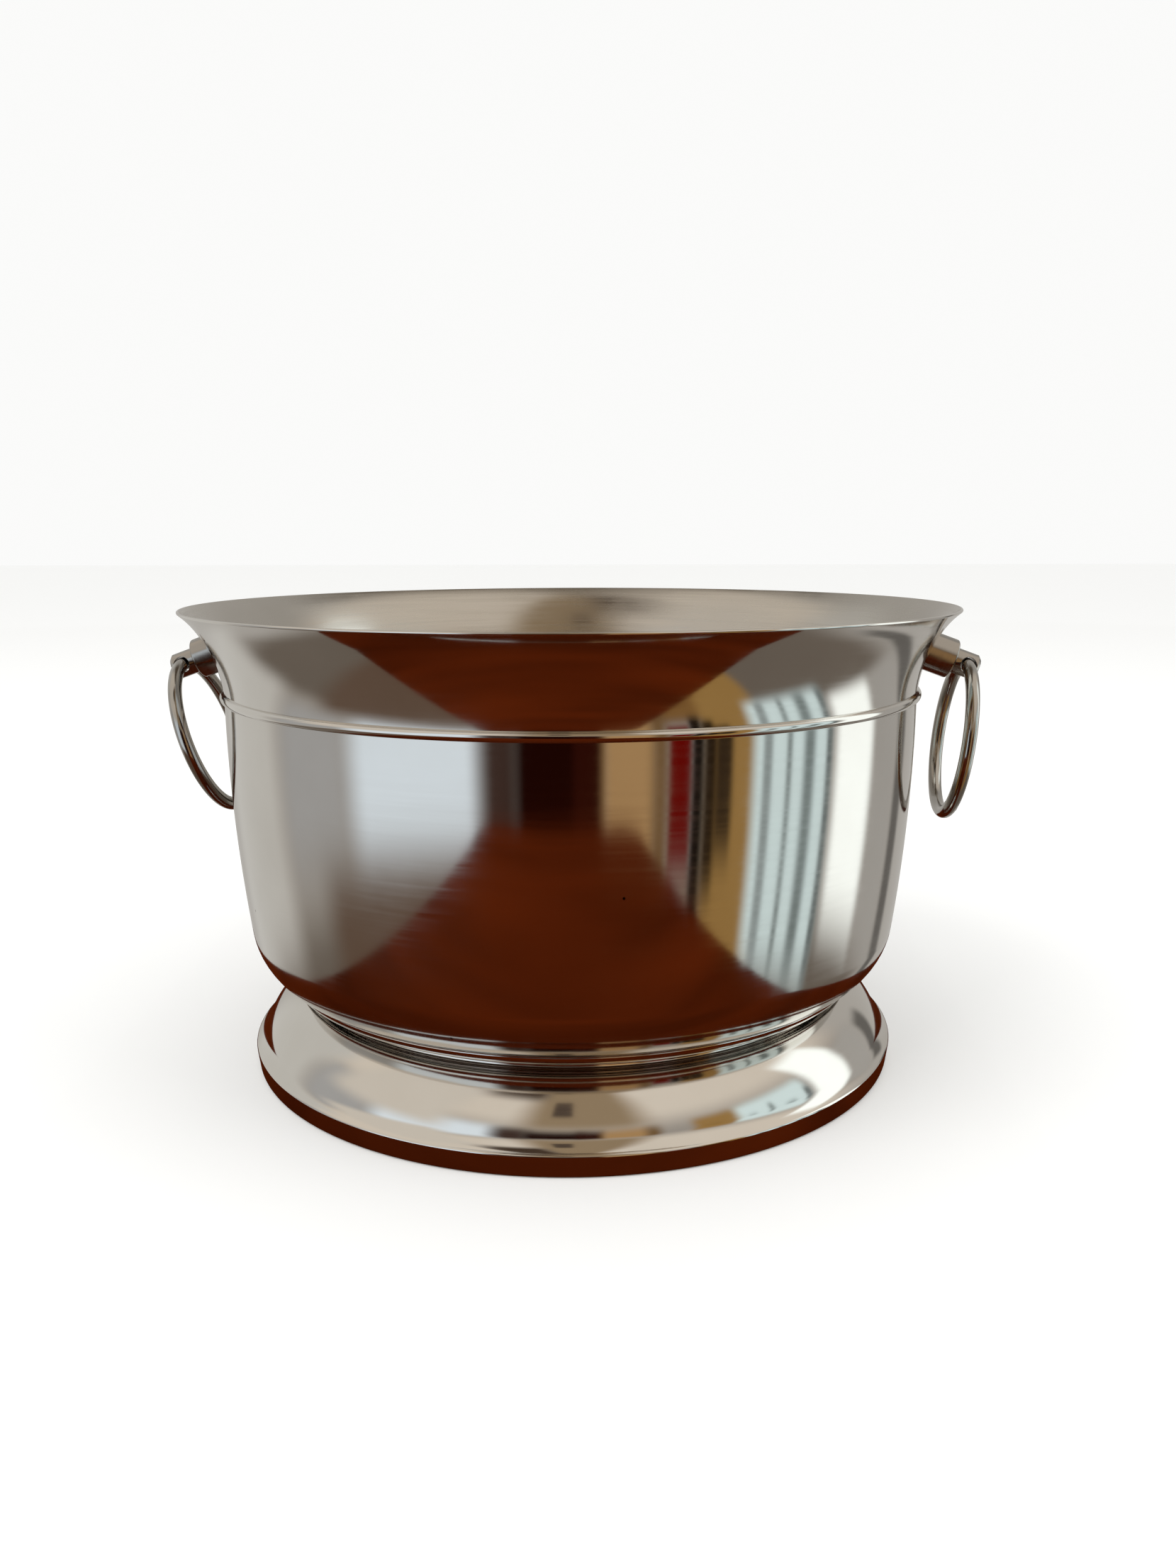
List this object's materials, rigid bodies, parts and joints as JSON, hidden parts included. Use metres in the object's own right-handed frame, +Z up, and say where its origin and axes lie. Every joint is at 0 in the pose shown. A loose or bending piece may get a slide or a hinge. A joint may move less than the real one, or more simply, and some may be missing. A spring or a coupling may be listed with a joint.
{
  "type": "champagne bucket",
  "caption": "Round polished steel champagne bucket with a flared lip and a spread foot, carried by a loose ring handle on each side.",
  "frame": {"origin": "centre of the foot's resting face, on the bucket's axis", "axes": "+Z up along the bucket's axis; the two lugs lie on +X and -X; +Y away from the viewer who faces the bucket"},
  "size_m": [0.3676, 0.34, 0.202],
  "materials": {
    "polished_steel": "mirror polished stainless steel with fine lines round the body",
    "turned_steel": "turned and polished stainless steel",
    "ring_steel": "polished stainless steel wire",
    "solder": "dull tin solder",
    "gasket_rubber": "matt black"
  },
  "bodies": {
    "vessel": {"bowl": "polished_steel", "neck_bead": "polished_steel", "base_collar": "polished_steel", "foot": "polished_steel", "foot_solder": "solder", "right_gasket": "gasket_rubber", "right_boss": "turned_steel", "right_eye": "turned_steel", "right_inner_washer": "turned_steel", "right_cap_nut": "turned_steel", "left_gasket": "gasket_rubber", "left_boss": "turned_steel", "left_eye": "turned_steel", "left_inner_washer": "turned_steel", "left_cap_nut": "turned_steel"},
    "right_handle": {"right_ring": "ring_steel"},
    "left_handle": {"left_ring": "ring_steel"}
  },
  "joints": [
    {"name": "right_ring_swing", "type": "hinge", "parent": "vessel", "child": "right_handle", "pos_m": [0.17736, 0, 0.17473], "axis": [0, 1, 0], "range_deg": [-195, 12.5]},
    {"name": "left_ring_swing", "type": "hinge", "parent": "vessel", "child": "left_handle", "pos_m": [-0.17736, 0, 0.17473], "axis": [0, -1, 0], "range_deg": [-212, 1.6]}
  ]
}
